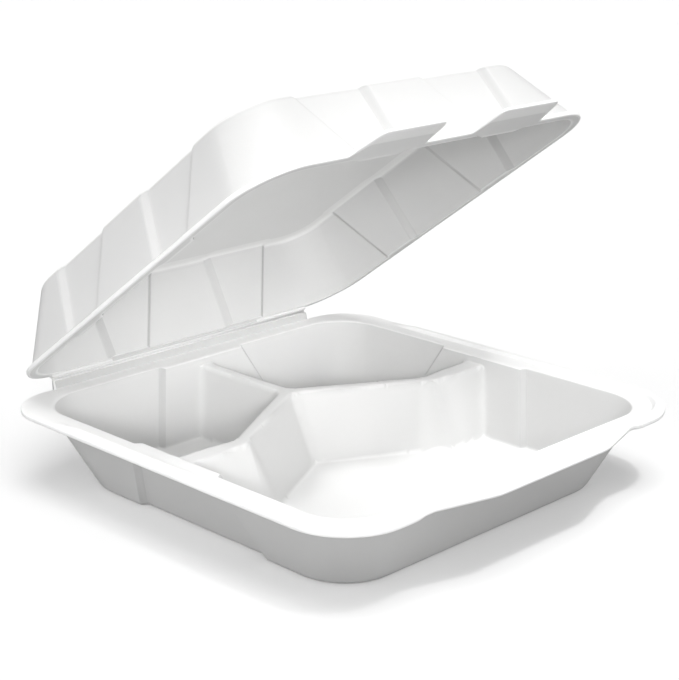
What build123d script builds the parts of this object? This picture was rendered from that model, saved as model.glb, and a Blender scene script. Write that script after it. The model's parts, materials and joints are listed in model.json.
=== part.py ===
# Foam clamshell container with three compartments, open on its foam hinge.
# Frame: +Z up, X along the hinge, hinge at +Y, front lip at -Y, base resting on Z = 0.
# The origin is on the ground under the middle of the tray. Units are millimetres.
import math
import os

from build123d import *

os.makedirs("parts", exist_ok=True)

# Foam sheet
foam = 3.0                # wall thickness square to the wall
wall_slope = 0.44         # horizontal run of the walls per millimetre of height
wall_run = foam * math.hypot(1.0, wall_slope)
over = 1.0                # how far a cut passes the face it opens

# Base tray
rim_z = 38.3              # top of the flat rim flange
floor_z = foam            # top of the floor
inner_half = 102.3        # inner edge of the rim flange
inner_radius = 23.0
floor_radius = 21.0
base_radius = 25.0
base_fillet = 4.0
floor_fillet = 3.0
flange_thick = 2.4
rim_width = 12.7
flange_half = inner_half + rim_width
flange_radius = 30.0
flange_back_step = 3.4    # the flange is shorter beyond the ends of the hinge
flange_back = flange_half - flange_back_step
flange_back_radius = 24.0

# Recessed wall panels of the base: left, right and hinge walls
panel_depth = 3.0
panel_half_rim = 24.9
panel_spread = 0.4        # growth of the half width per millimetre below the rim
panel_step = 2.7          # width of each slanted side of a panel
panel_turns = (0, 90, 180)

# Rim bead on the left, front and right
ledge_width = 2.0
bead_height = 1.8
bead_top_width = 1.9
bead_outer_lean = 0.5
bead_inner_lean = 1.5
bead_radius = 28.0
bead_end_y = 73.0         # the bead fades out here on both sides
bead_fade = 19.0
bead_outer_foot = flange_half - ledge_width
bead_outer_top = bead_outer_foot - bead_outer_lean
bead_inner_top = bead_outer_top - bead_top_width
bead_inner_foot = bead_inner_top - bead_inner_lean
bead_z = rim_z + bead_height

# Front lip
lip_reach = 12.3
lip_half_front = 37.5
lip_half_back = 74.5
lip_rise = 2.7
lip_thick = 2.6
lip_radius = 14.0
lip_y = -(bead_outer_foot + lip_reach)
lip_z = rim_z + lip_rise

# Divider: a stem from the hinge wall and two bent arms to the side walls
divider_drop = 3.3        # below the rim
divider_z = rim_z - divider_drop
divider_half = 2.8
divider_end_half = 5.1
divider_slope = 0.43
divider_fillet = 1.6
junction_inset = 63.7     # from the rim's inner edge at the hinge to the middle junction
bend_inset = 39.7         # from the rim's inner edge at the sides to the bends
junction_y = inner_half - junction_inset
bend_x = inner_half - bend_inset
arm_slope = 0.575         # fall of the arms toward the bends
arm_end_y = junction_y - arm_slope * bend_x
knee_extra = 1.2
junction_fillet = 6.0     # where the divider meets the tray walls
middle_fillet = 4.0       # where its arms meet

# Hinge line, and the two halves of the foam strip that stand on it
hinge_out = 1.85
hinge_rise = 4.15
hinge_y = flange_back + hinge_out
hinge_z = rim_z + hinge_rise
strip_half = 84.0
strip_thick = 1.95
strip_radius = 0.7
base_side_gap = 0.2       # base half to the hinge line
base_top_gap = 0.15
lid_side_gap = 0.25       # lid half to the hinge line
lid_low_gap = 0.35
strip_end_gap = 0.3

# Lid, measured from the hinge line along its rim (V) and square to it (H)
lid_angle = 35.88         # opening shown in the photo
lid_rim_h = 1.82          # underside of the rim above the hinge line
lid_rim_thick = 2.2
lid_side_inset = 7.6      # inside the tray's outer edge when closed
lid_front_inset = 10.45
lid_half = flange_half - lid_side_inset
lid_back = -1.0
lid_front = hinge_y + flange_half - lid_front_inset
lid_radius = 27.0
lid_ledge = 1.5           # the rim's edge stands this far outside the walls
lid_back_ledge = 1.6
lid_wall_half = lid_half - lid_ledge
lid_wall_back = lid_back + lid_back_ledge
lid_wall_front = lid_front - lid_ledge
lid_wall_radius = lid_radius - lid_ledge
lid_rise = 37.18
lid_top_h = lid_rim_h + lid_rise
lid_front_slope = 0.35
lid_top_radius = 22.0
lid_fillet = 6.0
cave_fillet = 4.5
cave_rim_radius = 22.9
cave_top_radius = 20.0

# Front tabs of the lid
tab_tip_inset = 2.45      # behind the edge of the front lip when closed
tab_front = hinge_y - lip_y - tab_tip_inset
tab_in = 15.0
tab_out = 60.5
tab_tip_in = 17.8
tab_tip_out = 55.5
tab_root = 8.0
tab_radius = 3.5

# Flutes: two recessed panels on each wall of the lid
flute_depth = 2.8
flute_in = 29.0           # from the middle of the wall to the near edge at the rim
flute_inset = 57.9        # from the wall's end to the far edge at the rim
flute_out = lid_wall_half - flute_inset
flute_centre = (flute_in + flute_out) / 2
flute_half_rim = (flute_out - flute_in) / 2
flute_spread = 0.25
flute_step = 4.0


def rounded(half_x, y_low, y_high, radius, z):
    """Rounded rectangle face at height z."""
    face = RectangleRounded(2 * half_x, y_high - y_low, radius)
    return Pos(0, (y_low + y_high) / 2, z) * face


def tapered(low, high):
    """Straight-sided solid between two faces."""
    return Solid.make_loft([low.wire(), high.wire()], True)


def wedge(low, high):
    """Solid between two polygons given as lists of points."""
    wires = []
    for points in (low, high):
        corners = [Vector(*p) for p in points]
        wires.append(Wire.make_polygon(corners, close=True))
    return Solid.make_loft(wires, True)


def half_at(z, half_rim):
    """Half size of the tray at height z, for a wall with this half size at the rim."""
    return half_rim - wall_slope * (rim_z - z)


def panel_cutter(half_rim, turn, z_rim, lean, span, centre, half, spread, step, depth, slope=wall_slope):
    """Region outside a recessed panel on one wall.

    The wall stands at +X before the turn. lean is 1 when the wall leans
    outward going up and -1 when it leans inward. half is the panel's half
    width at the rim, and spread its growth per millimetre away from it.
    """
    rings = []
    for z in span:
        away = lean * (z_rim - z)
        wide = half + spread * away
        inner = half_rim - slope * away - depth
        outer = inner + 2 * depth
        wider = wide + 2 * step
        ring = [
            (inner, centre - wide, z),
            (outer, centre - wider, z),
            (outer, centre + wider, z),
            (inner, centre + wide, z),
        ]
        rings.append(ring)
    solid = wedge(rings[0], rings[1])
    return Rot(0, 0, turn) * solid


def ridge(start, end, half_top, z_low, z_high):
    """Drafted ridge between two plan points."""
    dx = end[0] - start[0]
    dy = end[1] - start[1]
    length = math.hypot(dx, dy)
    low = half_top + divider_slope * (z_high - z_low)
    section = Polyline((-low, z_low), (low, z_low), (half_top, z_high), (-half_top, z_high), close=True)
    plane = Plane(
        origin=(start[0], start[1], 0),
        x_dir=(-dy / length, dx / length, 0),
        z_dir=(dx / length, dy / length, 0),
    )
    return extrude(plane * make_face(section), length)


def divider(half_extra, z_low, z_high):
    """The divider as five ridges, with a cone at each bend."""
    wall = inner_half + wall_run + 2 * foam
    solid = ridge((0, junction_y), (0, wall), divider_half + half_extra, z_low, z_high)
    knee = divider_half + knee_extra + half_extra
    cone = Cone(knee + divider_slope * (z_high - z_low), knee, z_high - z_low)
    for side in (-1, 1):
        bend = (side * bend_x, arm_end_y)
        end = (side * wall, arm_end_y)
        solid += ridge((0, junction_y), bend, divider_half + half_extra, z_low, z_high)
        solid += ridge(bend, end, divider_end_half + half_extra, z_low, z_high)
        solid += Pos(bend[0], bend[1], (z_low + z_high) / 2) * cone
    return solid


def upright(shape, spots):
    """Tall edges of a shape whose centres stand at the given plan points."""
    near = 1.5
    tall = (divider_z - floor_z) / 2
    found = []
    for edge in shape.edges():
        centre = edge.center()
        if edge.bounding_box().size.Z < tall:
            continue
        for x, y in spots:
            if abs(centre.X - x) < near and abs(centre.Y - y) < near:
                found.append(edge)
    return found


def lid_face(half_x, back, front, radius, h):
    """Rounded rectangle across the closed lid at height h."""
    return rounded(half_x, -front, -back, radius, h)


# Base tray: outer skin and cavity, both with the recessed panels
outer_half = inner_half + wall_run
base_half = half_at(0, outer_half)
base_outer = tapered(
    rounded(base_half, -base_half, base_half, base_radius, 0),
    rounded(outer_half, -outer_half, outer_half, inner_radius + foam, rim_z),
)
cavity_low = half_at(floor_z, inner_half)
cavity_high = half_at(rim_z + over, inner_half)
cavity = tapered(
    rounded(cavity_low, -cavity_low, cavity_low, floor_radius, floor_z),
    rounded(cavity_high, -cavity_high, cavity_high, inner_radius, rim_z + over),
)
panel = (0, panel_half_rim, panel_spread, panel_step, panel_depth)
for turn in panel_turns:
    base_outer -= panel_cutter(outer_half, turn, rim_z, 1, (-over, rim_z + over), *panel)
    cavity -= panel_cutter(inner_half, turn, rim_z, 1, (floor_z - over, rim_z + 2 * over), *panel)
base_outer = fillet(base_outer.edges().group_by(Axis.Z)[0], base_fillet)

front_plan = rounded(flange_half, -flange_half, flange_half / 2, flange_radius, 0)
back_plan = rounded(flange_half, -flange_half / 2, flange_back, flange_back_radius, 0)
flange = extrude(Pos(0, 0, rim_z - flange_thick) * (front_plan + back_plan), flange_thick)

# Three compartments: the cavity less the divider, with soft inner corners
divider_low = floor_z - 2 * over
floor_block = divider(0, divider_low, divider_z)
floor_block = fillet(floor_block.edges().group_by(Axis.Z)[-1], divider_fillet)
middle_z = (floor_z + divider_z) / 2
wall_at = half_at(middle_z, inner_half) - panel_depth
stem_at = divider_half + divider_slope * (divider_z - middle_z)
end_at = divider_end_half + divider_slope * (divider_z - middle_z)
arm_at = stem_at * math.hypot(1.0, arm_slope)
wall_junctions = []
middle_junctions = [(0, junction_y - arm_at)]
for side in (-1, 1):
    wall_junctions.append((side * wall_at, arm_end_y + end_at))
    wall_junctions.append((side * wall_at, arm_end_y - end_at))
    wall_junctions.append((side * stem_at, wall_at))
    middle_junctions.append((side * stem_at, junction_y + arm_at - arm_slope * stem_at))
space = cavity - floor_block
space = fillet(upright(space, middle_junctions), middle_fillet)
space = fillet(upright(space, wall_junctions), junction_fillet)
space = fillet(space.edges().group_by(Axis.Z)[0], floor_fillet)
tray = base_outer + flange
tray -= space

# Hollow underside of the divider
under_thin = 0.62         # keeps the ridge's slanted skin as thick as the sheet
under = divider(-foam * under_thin, -over, divider_z - foam)
under_half = half_at(0, inner_half) - foam
under &= Box(2 * under_half, 2 * under_half, 3 * rim_z)
tray -= under

# Rim bead, fading out toward the hinge
sunk = 0.4                # how far the bead's foot is sunk in the flange
bead_outer = tapered(
    rounded(bead_outer_foot, -bead_outer_foot, bead_outer_foot, bead_radius, rim_z - sunk),
    rounded(bead_outer_top, -bead_outer_top, bead_outer_top, bead_radius - bead_outer_lean, bead_z),
)
hole_low = bead_inner_foot - sunk
hole_high = bead_inner_top + sunk / 4
bead_inner = tapered(
    rounded(hole_low, -hole_low, hole_low, bead_radius - 3.8, rim_z - sunk - 0.1),
    rounded(hole_high, -hole_high, hole_high, bead_radius - 2.3, bead_z + 0.1),
)
bead = bead_outer - bead_inner
fade = Polyline(
    (0, bead_end_y, rim_z - over),
    (0, bead_end_y - bead_fade, bead_z + over / 2),
    (0, flange_half + 10, bead_z + over / 2),
    (0, flange_half + 10, rim_z - over),
    close=True,
)
bead -= Pos(-flange_half - 10, 0, 0) * extrude(make_face(fade), 2 * flange_half + 20, dir=(1, 0, 0))
tray += bead

# Front lip
lip_section = Polyline(
    (0, -bead_inner_foot, rim_z - over),
    (0, -bead_inner_foot, rim_z),
    (0, -bead_inner_top, bead_z),
    (0, -bead_outer_top, bead_z),
    (0, lip_y - over, lip_z),
    (0, lip_y - over, lip_z - lip_thick),
    (0, -flange_half, rim_z - flange_thick),
    (0, -bead_inner_foot, rim_z - flange_thick),
    close=True,
)
lip_root = -bead_inner_foot + 3.1
lip_bar = Pos(-lip_half_back, 0, 0) * extrude(make_face(lip_section), 2 * lip_half_back, dir=(1, 0, 0))
lip_line = Polyline(
    (-lip_half_back, lip_root),
    (-lip_half_back, -bead_outer_foot),
    (-lip_half_front, lip_y),
    (lip_half_front, lip_y),
    (lip_half_back, -bead_outer_foot),
    (lip_half_back, lip_root),
    close=True,
)
lip_plan = make_face(lip_line)
lip_plan = fillet(lip_plan.vertices().group_by(Axis.Y)[0], lip_radius)
lip = lip_bar & extrude(Pos(0, 0, rim_z / 2) * lip_plan, rim_z)
tray += lip

# Upstanding base half of the hinge strip
strip_low = rim_z - flange_thick
strip_top = hinge_z - base_top_gap
strip = Box(2 * strip_half, strip_thick, strip_top - strip_low)
strip = fillet(strip.edges().group_by(Axis.Z)[-1].filter_by(Axis.X), strip_radius)
strip_mid = hinge_y - base_side_gap - strip_thick / 2
tray += Pos(0, strip_mid, (strip_low + strip_top) / 2) * strip
tray.label = "base_tray"

# Lid, built closed: X along the hinge, V toward -Y, H up, hinge line on the X axis
lid_outer = tapered(
    lid_face(lid_wall_half, lid_wall_back, lid_wall_front, lid_wall_radius, lid_rim_h),
    lid_face(
        lid_wall_half - wall_slope * lid_rise, lid_wall_back + wall_slope * lid_rise,
        lid_wall_front - lid_front_slope * lid_rise, lid_top_radius, lid_top_h,
    ),
)
cave_rise = lid_rise - foam + over
cave_half = lid_wall_half - wall_run + wall_slope * over
cave_back = lid_wall_back + wall_run - wall_slope * over
cave_front = lid_wall_front - foam * math.hypot(1.0, lid_front_slope) + lid_front_slope * over
lid_cave = tapered(
    lid_face(cave_half, cave_back, cave_front, cave_rim_radius, lid_rim_h - over),
    lid_face(
        cave_half - wall_slope * cave_rise, cave_back + wall_slope * cave_rise,
        cave_front - lid_front_slope * cave_rise, cave_top_radius, lid_top_h - foam,
    ),
)
lid_mid = (lid_wall_back + lid_wall_front) / 2
lid_half_v = (lid_wall_front - lid_wall_back) / 2
flute_span = (lid_rim_h - 2 * over, lid_top_h + 2 * over)
for turn in (0, 90, 180, 270):
    reach = lid_wall_half if turn in (0, 180) else lid_half_v
    slope = lid_front_slope if turn == 270 else wall_slope
    for side in (-1, 1):
        flute = (side * flute_centre, flute_half_rim, flute_spread, flute_step, flute_depth, slope)
        outer_cut = panel_cutter(reach, turn, lid_rim_h, -1, flute_span, *flute)
        inner_cut = panel_cutter(reach - wall_run, turn, lid_rim_h, -1, flute_span, *flute)
        lid_outer -= Pos(0, -lid_mid, 0) * outer_cut
        lid_cave -= Pos(0, -lid_mid, 0) * inner_cut
lid_outer = fillet(lid_outer.edges().group_by(Axis.Z)[-1], lid_fillet)
lid_cave = fillet(lid_cave.edges().group_by(Axis.Z)[-1], cave_fillet)

# Rim and tabs of the lid
rim = extrude(lid_face(lid_half, lid_back, lid_front, lid_radius, lid_rim_h), lid_rim_thick)
for side in (-1, 1):
    line = Polyline(
        (side * tab_in, tab_root - lid_front),
        (side * tab_in, -lid_front),
        (side * tab_tip_in, -tab_front),
        (side * tab_tip_out, -tab_front),
        (side * tab_out, -lid_front),
        (side * tab_out, tab_root - lid_front),
        close=True,
    )
    tab = make_face(line)
    tab = fillet(tab.vertices().group_by(Axis.Y)[0], tab_radius)
    rim += extrude(Pos(0, 0, lid_rim_h) * tab, lid_rim_thick)
lid = lid_outer + rim
lid -= lid_cave

# Lid half of the hinge strip, in a notch of the rim's rear edge
notch = 10.0
lid -= Pos(0, notch / 2 - lid_side_gap, 0) * Box(2 * (strip_half + strip_end_gap), notch, 2 * notch)
web_high = lid_rim_h + lid_rim_thick
web = Box(2 * strip_half, strip_thick, web_high - lid_low_gap)
lid += Pos(0, -lid_side_gap - strip_thick / 2, (lid_low_gap + web_high) / 2) * web
lid = Pos(0, hinge_y, hinge_z) * Rot(-lid_angle, 0, 0) * lid
lid.label = "lid"

print("base_tray", tray.volume, tray.is_valid, len(tray.solids()), tray.bounding_box())
print("lid", lid.volume, lid.is_valid, len(lid.solids()), lid.bounding_box())
export_step(tray, "parts/base_tray.step")
export_step(lid, "parts/lid.step")
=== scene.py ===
"""Foam clamshell container: moulded foam tray and lid, foam hinge web, plain studio.

The tray and the lid are each one closed skin. A skin is a grid over its floor (or its
top) and a stack of rings that follow the moulded section out to the rim and back
under. Lengths in the classes are millimetres; meshes are written in metres.
"""

import json
import logging
import math
from collections.abc import Callable
from dataclasses import dataclass, replace
from enum import Enum

import bpy
import numpy as np
from mathutils import Matrix, Vector


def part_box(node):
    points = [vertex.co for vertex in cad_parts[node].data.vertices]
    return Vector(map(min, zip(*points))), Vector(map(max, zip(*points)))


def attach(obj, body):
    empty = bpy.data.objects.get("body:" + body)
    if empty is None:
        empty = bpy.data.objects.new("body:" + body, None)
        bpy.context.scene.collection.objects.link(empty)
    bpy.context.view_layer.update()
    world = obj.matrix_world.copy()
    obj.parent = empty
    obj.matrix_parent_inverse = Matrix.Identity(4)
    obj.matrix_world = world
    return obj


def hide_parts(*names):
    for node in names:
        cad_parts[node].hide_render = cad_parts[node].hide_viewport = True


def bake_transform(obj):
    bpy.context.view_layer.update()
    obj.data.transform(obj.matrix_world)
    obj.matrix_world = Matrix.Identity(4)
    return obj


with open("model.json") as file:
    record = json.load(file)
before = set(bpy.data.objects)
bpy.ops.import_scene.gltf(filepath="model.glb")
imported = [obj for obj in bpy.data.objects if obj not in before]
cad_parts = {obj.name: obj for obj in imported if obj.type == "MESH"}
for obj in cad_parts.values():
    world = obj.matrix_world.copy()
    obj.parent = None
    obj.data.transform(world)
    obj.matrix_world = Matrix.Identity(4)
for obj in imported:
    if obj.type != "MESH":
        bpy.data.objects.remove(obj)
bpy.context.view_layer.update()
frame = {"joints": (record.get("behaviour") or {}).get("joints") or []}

LOG = logging.getLogger("clamshell")
MM = 0.001
PHOTO_WIDTH = 679
PHOTO_HEIGHT = 680
# a place on a bend, and a function that gives heights over the plan
Point = float | np.ndarray | Vector
Heights = Callable[[np.ndarray, np.ndarray], np.ndarray]
# places of the values in a ring's row
SIDE, FRONT, BACK, HEIGHT, RADIUS_FRONT, RADIUS_BACK, PANEL = range(7)
# shares of the way from the middle of a plan corner to its end, at which points stand
CORNER_SHARES = (0.0, 0.15, 0.3, 0.44, 0.57, 0.7, 0.809)
# rings from the widest one to the rim's underside, and the knot at the strip's end
EDGE_RINGS = 8
STRIP_KNOT = 2.0
# shares of a run that a plain corner takes, and that a bend takes at most
PLAIN_REACH = 0.2
MOST_REACH = 0.48
# least share of the panels on a ring that lies wholly on a wall
FULL_PANEL = 0.99
# keep a blend from having no height, and a division from having no length
LEAST_BLEND = 1e-6
TINY = 1e-9


class Side(Enum):
    """The four sides of a skin's plan."""

    FRONT = 0
    RIGHT = 1
    BACK = 2
    LEFT = 3

    @property
    def across(self) -> bool:
        """Whether the side runs along X."""
        return self in (Side.FRONT, Side.BACK)


def smooth_step(value: np.ndarray, low: float, high: float) -> np.ndarray:
    """Ease from 0 at low to 1 at high."""
    t = np.clip((value - low) / (high - low), 0.0, 1.0)
    return t * t * (3.0 - 2.0 * t)


def smooth_max(a: np.ndarray, b: np.ndarray, k: float | np.ndarray) -> np.ndarray:
    """Larger of two heights, with a rounded valley where they differ by less than k."""
    h = np.clip(0.5 + 0.5 * (a - b) / k, 0.0, 1.0)
    return b + (a - b) * h + k * h * (1.0 - h)


def smooth_min(a: np.ndarray, b: np.ndarray, k: float | np.ndarray) -> np.ndarray:
    """Smaller of two heights, with a rounded crest where they differ by less than k."""
    return -smooth_max(-a, -b, k)


def to_segment(
    x: np.ndarray, y: np.ndarray, start: tuple[float, float], end: tuple[float, float],
) -> tuple[np.ndarray, np.ndarray]:
    """Distance in plan to a straight segment.

    Args:
        x: Plan positions across.
        y: Plan positions along.
        start: First end of the segment.
        end: Second end of the segment.

    Returns:
        The distance, and the share of the way along the segment.
    """
    dx, dy = end[0] - start[0], end[1] - start[1]
    share = np.clip(((x - start[0]) * dx + (y - start[1]) * dy) / (dx * dx + dy * dy), 0.0, 1.0)
    return np.hypot(x - start[0] - share * dx, y - start[1] - share * dy), share


def bent(start: Point, corner: Point, end: Point, share: float | np.ndarray) -> Point:
    """Place on a bend from start to end, between two runs that would meet at corner."""
    rest = 1 - share
    return rest ** 2 * start + 2 * share * rest * corner + share * share * end


def placed(name: str, data: bpy.types.ID) -> bpy.types.Object:
    """Put an object into the scene.

    Args:
        name: Name of the object.
        data: Its mesh, light or camera.

    Returns:
        The object.
    """
    item = bpy.data.objects.new(name, data)
    bpy.context.scene.collection.objects.link(item)
    return item


def wired(
    tree: bpy.types.NodeTree, kinds: dict[str, str | bpy.types.NodeTree],
    wires: tuple[tuple[str, str | int, str, str | int], ...],
) -> dict[str, bpy.types.Node]:
    """Add nodes to a tree and join their sockets.

    Args:
        tree: The node tree.
        kinds: Type of each node, or the group that it holds, by the name in the wires.
        wires: Source node, its socket, target node, its socket.

    Returns:
        The nodes by name.
    """
    nodes = {}
    for name, kind in kinds.items():
        is_type = isinstance(kind, str)
        nodes[name] = tree.nodes.new(kind if is_type else "ShaderNodeGroup")
        if not is_type:
            nodes[name].node_tree = kind
    for source, out, target, into in wires:
        tree.links.new(nodes[source].outputs[out], nodes[target].inputs[into])
    return nodes


@dataclass(frozen=True)
class Corner:
    """A corner of a moulded section, from the middle of the plan outward.

    side, front and back are distances from the middle of the plan, radius_front and
    radius_back round the plan's corners, bend rounds this corner of the section, and
    panel is the share of the walls' recess that it takes.
    """

    side: float
    front: float
    back: float
    height: float
    radius_front: float
    radius_back: float
    bend: float = 0.0
    panel: float = 0.0

    def values(self) -> np.ndarray:
        """All the numbers that a ring interpolates."""
        plan = (self.side, self.front, self.back, self.height, self.radius_front, self.radius_back)
        return np.array((*plan, self.panel), float)


@dataclass(frozen=True)
class Section:
    """A moulded section: corners joined by straight runs.

    fills gives the rings inside each straight run, and turns the steps of each bend.
    """

    corners: tuple[Corner, ...]
    fills: tuple[int, ...]
    turns: tuple[int, ...]

    def rings(self) -> np.ndarray:
        """Ring values from the first corner to the last.

        Returns:
            One row of values per ring.
        """
        values = [c.values() for c in self.corners]
        rows = [values[0]]
        last = values[0]
        for i in range(1, len(values)):
            here = values[i]
            inner = i < len(values) - 1
            reach_in, reach_out = self.reaches(values, i) if inner else (0.0, 0.0)
            into = here + (values[i - 1] - here) * reach_in
            spans = self.fills[i - 1] + 1
            rows += [last + (into - last) * (k / spans) for k in range(1, spans)]
            if not inner:
                rows.append(here)
                break
            out = here + (values[i + 1] - here) * reach_out
            turns = self.turns[i - 1]
            rows += [bent(into, here, out, k / turns) for k in range(turns + 1)]
            last = out
        return np.array(rows)

    def reaches(self, values: list[np.ndarray], i: int) -> tuple[float, float]:
        """Shares of the two runs that a bend takes, with a fifth for a plain corner.

        Args:
            values: Ring values of the corners.
            i: Index of the corner.

        Returns:
            The shares of the run before and of the run after.
        """
        if self.corners[i].bend <= 0:
            return PLAIN_REACH, PLAIN_REACH
        plan = (SIDE, HEIGHT)
        before = np.array([values[i - 1][p] - values[i][p] for p in plan])
        after = np.array([values[i + 1][p] - values[i][p] for p in plan])
        len_before, len_after = np.linalg.norm(before), np.linalg.norm(after)
        cosine = float(np.clip(before @ after / (len_before * len_after + TINY), -1, 1))
        reach = self.corners[i].bend / math.tan(math.acos(cosine) / 2)
        first, second = (min(MOST_REACH, reach / (run + TINY)) for run in (len_before, len_after))
        return first, second

    def moved(self, changes: dict[int, dict[str, float]]) -> "Section":
        """The same section with new values for some of its corners, by index."""
        corners = (replace(c, **changes.get(i, {})) for i, c in enumerate(self.corners))
        return replace(self, corners=tuple(corners))


def even(count: int) -> tuple[float, ...]:
    """Evenly spaced shares of a span, its end left out."""
    return tuple(k / count for k in range(count))


def columns(outer: tuple[tuple[float, ...], ...], middle: int) -> np.ndarray:
    """Knot coordinates at which the points of a side stand, alike on its two halves.

    Args:
        outer: For each span before the middle one, the shares at which a point stands.
        middle: Steps of the middle span.

    Returns:
        The coordinates, which count the knots.
    """
    turned = [(0.0, *sorted(1.0 - s for s in shares if s > 0)) for shares in reversed(outer)]
    spans = (*outer, even(middle), *turned)
    found = [i + share for i, shares in enumerate(spans) for share in shares]
    return np.array([*found, float(len(spans))])


@dataclass
class RingSkin:
    """Base of the two moulded skins: plan rings, floor grid and closed mesh.

    wall_painted_shade is the painted shade of the steep faces, edge_painted_shade what a
    panel's edge adds to it, steep_from the upward share of a normal where a face starts and
    ends to count as steep, lower_painted_shade the least painted shade of the lower grid,
    strip_painted_shade that of the hinge strip's upright faces and under_painted_shade that
    of the rim's underside. These faces are painted darker to stand in for shade.
    """

    foam: float = 3.0
    slope: float = 0.44
    strip_half: float = 84.0
    panel_depth: float = 3.0
    # painted shade: how much darker the steep, edge, strip and under faces are painted
    wall_painted_shade: float = 0.68
    edge_painted_shade: float = 1.25
    steep_from: tuple[float, float] = (0.62, 0.82)
    lower_painted_shade: float = 0.0
    strip_painted_shade: float = 1.0
    under_painted_shade: float = 0.0

    def stations(self, side: Side) -> np.ndarray:
        """Knot coordinates of a side's points, the same on opposite sides."""
        raise NotImplementedError

    def knots(self, side: Side, ring: np.ndarray, low: float, high: float) -> np.ndarray:
        """Places of the knots along a side's straight part, from low to high."""
        raise NotImplementedError

    def panels(self, side: Side) -> tuple[tuple[int, int], ...]:
        """First and last knot of each wall panel of a side, slanted edges included."""
        raise NotImplementedError

    def relief(self, side: Side, coordinates: np.ndarray) -> tuple[np.ndarray, np.ndarray]:
        """Wall panels at knot coordinates.

        Args:
            side: Side of the plan.
            coordinates: Knot coordinates along it.

        Returns:
            Depth in millimetres, and shares of the slanted edges.
        """
        depth, slants = np.zeros_like(coordinates), np.zeros_like(coordinates)
        for first, last in self.panels(side):
            rise = smooth_step(coordinates, first, first + 1)
            fall = 1.0 - smooth_step(coordinates, last - 1, last)
            depth += self.panel_depth * rise * fall
            for edge in (first, last - 1):
                share = np.clip(coordinates - edge, 0, 1)
                slants = np.maximum(slants, 4 * share * (1 - share))
        return depth, slants

    def side_points(self, side: Side, ring: np.ndarray) -> tuple[np.ndarray, np.ndarray]:
        """Points of a ring along one side, corner diagonals included.

        Args:
            side: Side of the plan.
            ring: Values of the ring.

        Returns:
            Places along the side and distances from the middle.
        """
        if side.across:
            picked = (FRONT, RADIUS_FRONT) if side is Side.FRONT else (BACK, RADIUS_BACK)
            out, radius_low = (ring[value] for value in picked)
            radius_high = radius_low
            low, high = radius_low - ring[SIDE], ring[SIDE] - radius_high
        else:
            out, radius_low, radius_high = (ring[k] for k in (SIDE, RADIUS_FRONT, RADIUS_BACK))
            low, high = radius_low - ring[FRONT], ring[BACK] - radius_high
        q = self.stations(side)
        knots = self.knots(side, ring, low, high)
        straight = np.interp(q, np.arange(len(knots)), knots)
        depth = out - ring[PANEL] * self.relief(side, q)[0]
        angles = np.radians(45.0 + 45.0 * np.array(CORNER_SHARES))
        before = low - radius_low * np.cos(angles)
        after = (high + radius_high * np.cos(angles))[::-1]
        deep_before = out - radius_low + radius_low * np.sin(angles)
        deep_after = (out - radius_high + radius_high * np.sin(angles))[::-1]
        along = np.concatenate((before, straight, after))
        deep = np.concatenate((deep_before, depth, deep_after))
        return along, deep

    @staticmethod
    def looped(sides: list[np.ndarray]) -> np.ndarray:
        """Values of the four sides as one ring, each corner's middle point once."""
        front, right, back, left = sides
        return np.concatenate((front, right[1:], back[::-1][1:], left[::-1][1:-1]))

    def ring_points(self, ring: np.ndarray) -> np.ndarray:
        """Plan points of a ring, counterclockwise from the front left corner.

        Args:
            ring: Values of the ring.

        Returns:
            Points as rows of x and y.
        """
        parts = []
        for side in Side:
            along, deep = self.side_points(side, ring)
            out = -deep if side in (Side.FRONT, Side.LEFT) else deep
            parts.append(np.column_stack((along, out) if side.across else (out, along)))
        return self.looped(parts)

    def marks(self) -> tuple[np.ndarray, np.ndarray]:
        """Marks of the points of a ring.

        Returns:
            Side number and knot coordinate of each point. The coordinate is negative
            round the plan's corners.
        """
        round_corner = np.full(len(CORNER_SHARES), -1.0)
        sides, coordinates = [], []
        for side in Side:
            coordinates.append(np.concatenate((round_corner, self.stations(side), round_corner)))
            sides.append(np.full(len(coordinates[-1]), side.value))
        return self.looped(sides), self.looped(coordinates)

    def on_strip(self) -> np.ndarray:
        """Whether each point of a ring lies on the hinge strip."""
        sides, q = self.marks()
        return (sides == Side.BACK.value) & (q >= STRIP_KNOT) & (q <= q.max() - STRIP_KNOT)

    def counts(self) -> tuple[int, int]:
        """Columns and rows of the floor grid."""
        across, along = (len(self.stations(side)) for side in (Side.FRONT, Side.RIGHT))
        return across + 2 * len(CORNER_SHARES), along + 2 * len(CORNER_SHARES)

    def border(self) -> tuple[np.ndarray, np.ndarray]:
        """The floor's border, in ring order.

        Returns:
            Column and row of each of its points.
        """
        n, m = self.counts()
        i = [*range(n), *([n - 1] * (m - 1)), *range(n - 2, -1, -1), *([0] * (m - 2))]
        j = [*([0] * n), *range(1, m), *([m - 1] * (n - 1)), *range(m - 2, 0, -1)]
        return np.array(i), np.array(j)

    def warp(self, x: np.ndarray, y: np.ndarray) -> np.ndarray:
        """Shift along Y of the floor grid's lines, in millimetres."""
        return np.zeros_like(x + y)

    def floor_grid(self, loop: np.ndarray) -> np.ndarray:
        """Plan points of the floor, fitted to the loop round it.

        Args:
            loop: Plan points of the floor's border.

        Returns:
            Points by column, row and coordinate.
        """
        n, m = self.counts()
        bi, bj = self.border()
        edge = np.full((n, m, 2), np.nan)
        edge[bi, bj] = loop
        x = edge[:, 0, 0][:, None] + np.zeros((1, m))
        y = edge[0, :, 1][None, :] + np.zeros((n, 1))
        base = np.dstack((x, y + self.warp(x, y)))
        gap = edge - base
        u = ((x - x[:1]) / (x[-1:] - x[:1]))[..., None]
        v = ((y - y[:, :1]) / (y[:, -1:] - y[:, :1]))[..., None]
        near, far = gap[:, :1], gap[:, -1:]
        left, right = gap[:1], gap[-1:]
        sides = (1 - v) * near + v * far + (1 - u) * left + u * right
        corners = (1 - u) * ((1 - v) * gap[:1, :1] + v * gap[:1, -1:])
        corners += u * ((1 - v) * gap[-1:, :1] + v * gap[-1:, -1:])
        return base + sides - corners

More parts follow.
